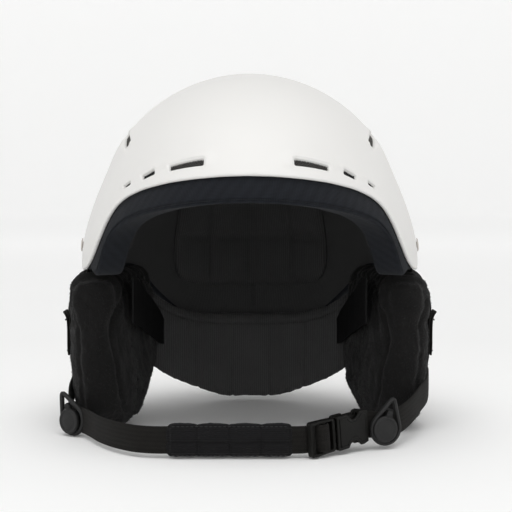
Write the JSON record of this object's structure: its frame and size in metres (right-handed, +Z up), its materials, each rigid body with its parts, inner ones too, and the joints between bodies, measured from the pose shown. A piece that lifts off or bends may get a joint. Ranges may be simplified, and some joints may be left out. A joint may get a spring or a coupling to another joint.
{
  "type": "ski helmet",
  "caption": "Matte white ski helmet with a foam liner, plush ear pads, webbing straps with drop-shaped strap locks, a quilted chin pad, a side-release buckle and a rear fit dial.",
  "frame": {"origin": "centre of the bounding box's base, where the ear pads and nape pad rest on a table", "axes": "+Z up through the crown, the brow faces -Y, the wearer's left ear is at +X; l and r in node names are as seen from in front, l at -X"},
  "size_m": [0.2364, 0.2719, 0.23],
  "materials": {
    "shell_white": "matte white in-mould shell",
    "liner_foam": "black expanded foam with a fine bead",
    "vent_mesh": "fine black net",
    "fleece": "quilted brushed knit",
    "plush": "long black pile",
    "webbing": "woven polyester",
    "buckle_plastic": "moulded acetal, satin",
    "lock_plastic": "moulded nylon, satin",
    "band_plastic": "flexible moulded nylon",
    "rivet_grey": "grey painted rivet cap",
    "steel": "plain steel"
  },
  "bodies": {
    "helmet": {"outer_shell": "shell_white", "eps_liner": "liner_foam", "vent_mesh_brow_l": "vent_mesh", "vent_mesh_brow_r": "vent_mesh", "vent_mesh_side_l": "vent_mesh", "vent_mesh_side_r": "vent_mesh", "vent_mesh_rear_l": "vent_mesh", "vent_mesh_rear_r": "vent_mesh", "strap_rivet_front_l": "rivet_grey", "strap_rivet_front_r": "rivet_grey", "strap_rivet_rear_l": "rivet_grey", "strap_rivet_rear_r": "rivet_grey", "brow_pad": "fleece", "crown_pad": "fleece", "side_pad_l": "fleece", "side_pad_r": "fleece", "rear_pad": "fleece", "nape_pad": "fleece", "ear_pad_l": "plush", "ear_pad_r": "plush", "ear_snap_front_l": "lock_plastic", "ear_snap_front_r": "lock_plastic", "ear_snap_rear_l": "lock_plastic", "ear_snap_rear_r": "lock_plastic", "front_strap_l": "webbing", "front_strap_r": "webbing", "rear_strap_l": "webbing", "rear_strap_r": "webbing", "chin_strap_short": "webbing", "strap_lock_frame_r": "lock_plastic", "strap_lock_pin_r": "steel", "buckle_socket": "buckle_plastic", "fit_housing": "band_plastic", "fit_housing_cover": "band_plastic", "goggle_clip_base": "lock_plastic", "goggle_clip_pin": "steel"},
    "chin_strap": {"chin_strap_long": "webbing", "strap_lock_frame_l": "lock_plastic", "strap_lock_pin_l": "steel", "buckle_plug": "buckle_plastic"},
    "lock_cap_l": {"strap_lock_cap_l": "lock_plastic"},
    "lock_cap_r": {"strap_lock_cap_r": "lock_plastic"},
    "prong_upper": {"buckle_prong_upper": "buckle_plastic"},
    "prong_lower": {"buckle_prong_lower": "buckle_plastic"},
    "chin_cushion": {"chin_pad": "fleece"},
    "dial": {"fit_dial": "lock_plastic", "fit_dial_screw": "steel", "fit_pinion": "band_plastic"},
    "band_l": {"fit_band_l": "band_plastic"},
    "band_r": {"fit_band_r": "band_plastic"},
    "goggle_hook": {"goggle_clip": "lock_plastic"}
  },
  "joints": [
    {"name": "buckle_release", "type": "slide", "parent": "helmet", "child": "chin_strap", "axis": [-0.7514, -0.6531, -0.0941], "range_m": [0, 0.02]},
    {"name": "strap_lock_cap_l_lift", "type": "hinge", "parent": "chin_strap", "child": "lock_cap_l", "pos_m": [-0.11306, -0.05268, 0.0199], "axis": [-0.4949, 0.8346, -0.2419], "range_deg": [0, 70]},
    {"name": "strap_lock_cap_r_lift", "type": "hinge", "parent": "helmet", "child": "lock_cap_r", "pos_m": [0.08333, -0.09791, 0.02375], "axis": [-0.8765, -0.3824, 0.2924], "range_deg": [0, 70]},
    {"name": "buckle_prong_upper_squeeze", "type": "hinge", "parent": "chin_strap", "child": "prong_upper", "pos_m": [0.04983, -0.11789, 0.01946], "axis": [-0.6561, 0.7547, 0], "range_deg": [0, 7], "stiffness_Nm_per_rad": 0.8},
    {"name": "buckle_prong_lower_squeeze", "type": "hinge", "parent": "chin_strap", "child": "prong_lower", "pos_m": [0.05077, -0.11708, 0.00632], "axis": [-0.6561, 0.7547, 0], "range_deg": [-7, 0], "stiffness_Nm_per_rad": 0.8},
    {"name": "chin_pad_slide", "type": "slide", "parent": "chin_strap", "child": "chin_cushion", "axis": [1, 0, 0], "range_m": [-0.006, 0.002]},
    {"name": "fit_dial_turn", "type": "hinge", "parent": "helmet", "child": "dial", "pos_m": [0, 0.109, 0.033], "axis": [0, 1, 0], "range_deg": [0, 90]},
    {"name": "fit_band_l_draw", "type": "slide", "parent": "helmet", "child": "band_l", "axis": [1, 0, 0], "range_m": [0, 0.00628]},
    {"name": "fit_band_r_draw", "type": "slide", "parent": "helmet", "child": "band_r", "axis": [-1, 0, 0], "range_m": [0, 0.00628]},
    {"name": "goggle_clip_lift", "type": "hinge", "parent": "helmet", "child": "goggle_hook", "pos_m": [0, 0.1357, 0.1135], "axis": [1, 0, 0], "range_deg": [0, 60]}
  ],
  "couplings": [
    {"joint": "fit_dial_turn", "follows": "fit_band_l_draw", "rad_per_m": 250},
    {"joint": "fit_band_r_draw", "follows": "fit_band_l_draw", "ratio": 1}
  ]
}
